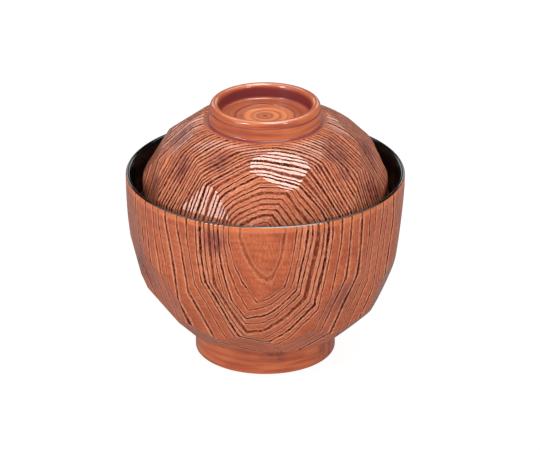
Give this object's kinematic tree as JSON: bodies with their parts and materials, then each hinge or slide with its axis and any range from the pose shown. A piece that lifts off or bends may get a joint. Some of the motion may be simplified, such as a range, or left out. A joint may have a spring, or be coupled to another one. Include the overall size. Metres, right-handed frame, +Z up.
{
  "type": "lidded soup bowl",
  "caption": "Round lidded soup bowl of brown lacquered wood with tortoise-shell facets, a foot ring, a ring knob on the domed lid and a black lacquer lining.",
  "frame": {"origin": "on the table, at the centre of the foot ring", "axes": "+Z up along the bowl's axis, -Y towards the front of the picture, +X to its right"},
  "size_m": [0.115, 0.115, 0.11],
  "materials": {
    "lacquered_wood": "open-grain wood under clear satin lacquer",
    "black_lacquer": "gloss black lacquer"
  },
  "bodies": {
    "bowl": {"bowl_body": "lacquered_wood", "bowl_lining": "black_lacquer"},
    "lid": {"lid_body": "lacquered_wood", "lid_lining": "black_lacquer"}
  },
  "joints": [
    {"name": "lid_lift", "type": "slide", "parent": "bowl", "child": "lid", "axis": [0, 0, 1], "range_m": [0, 0.06]}
  ]
}
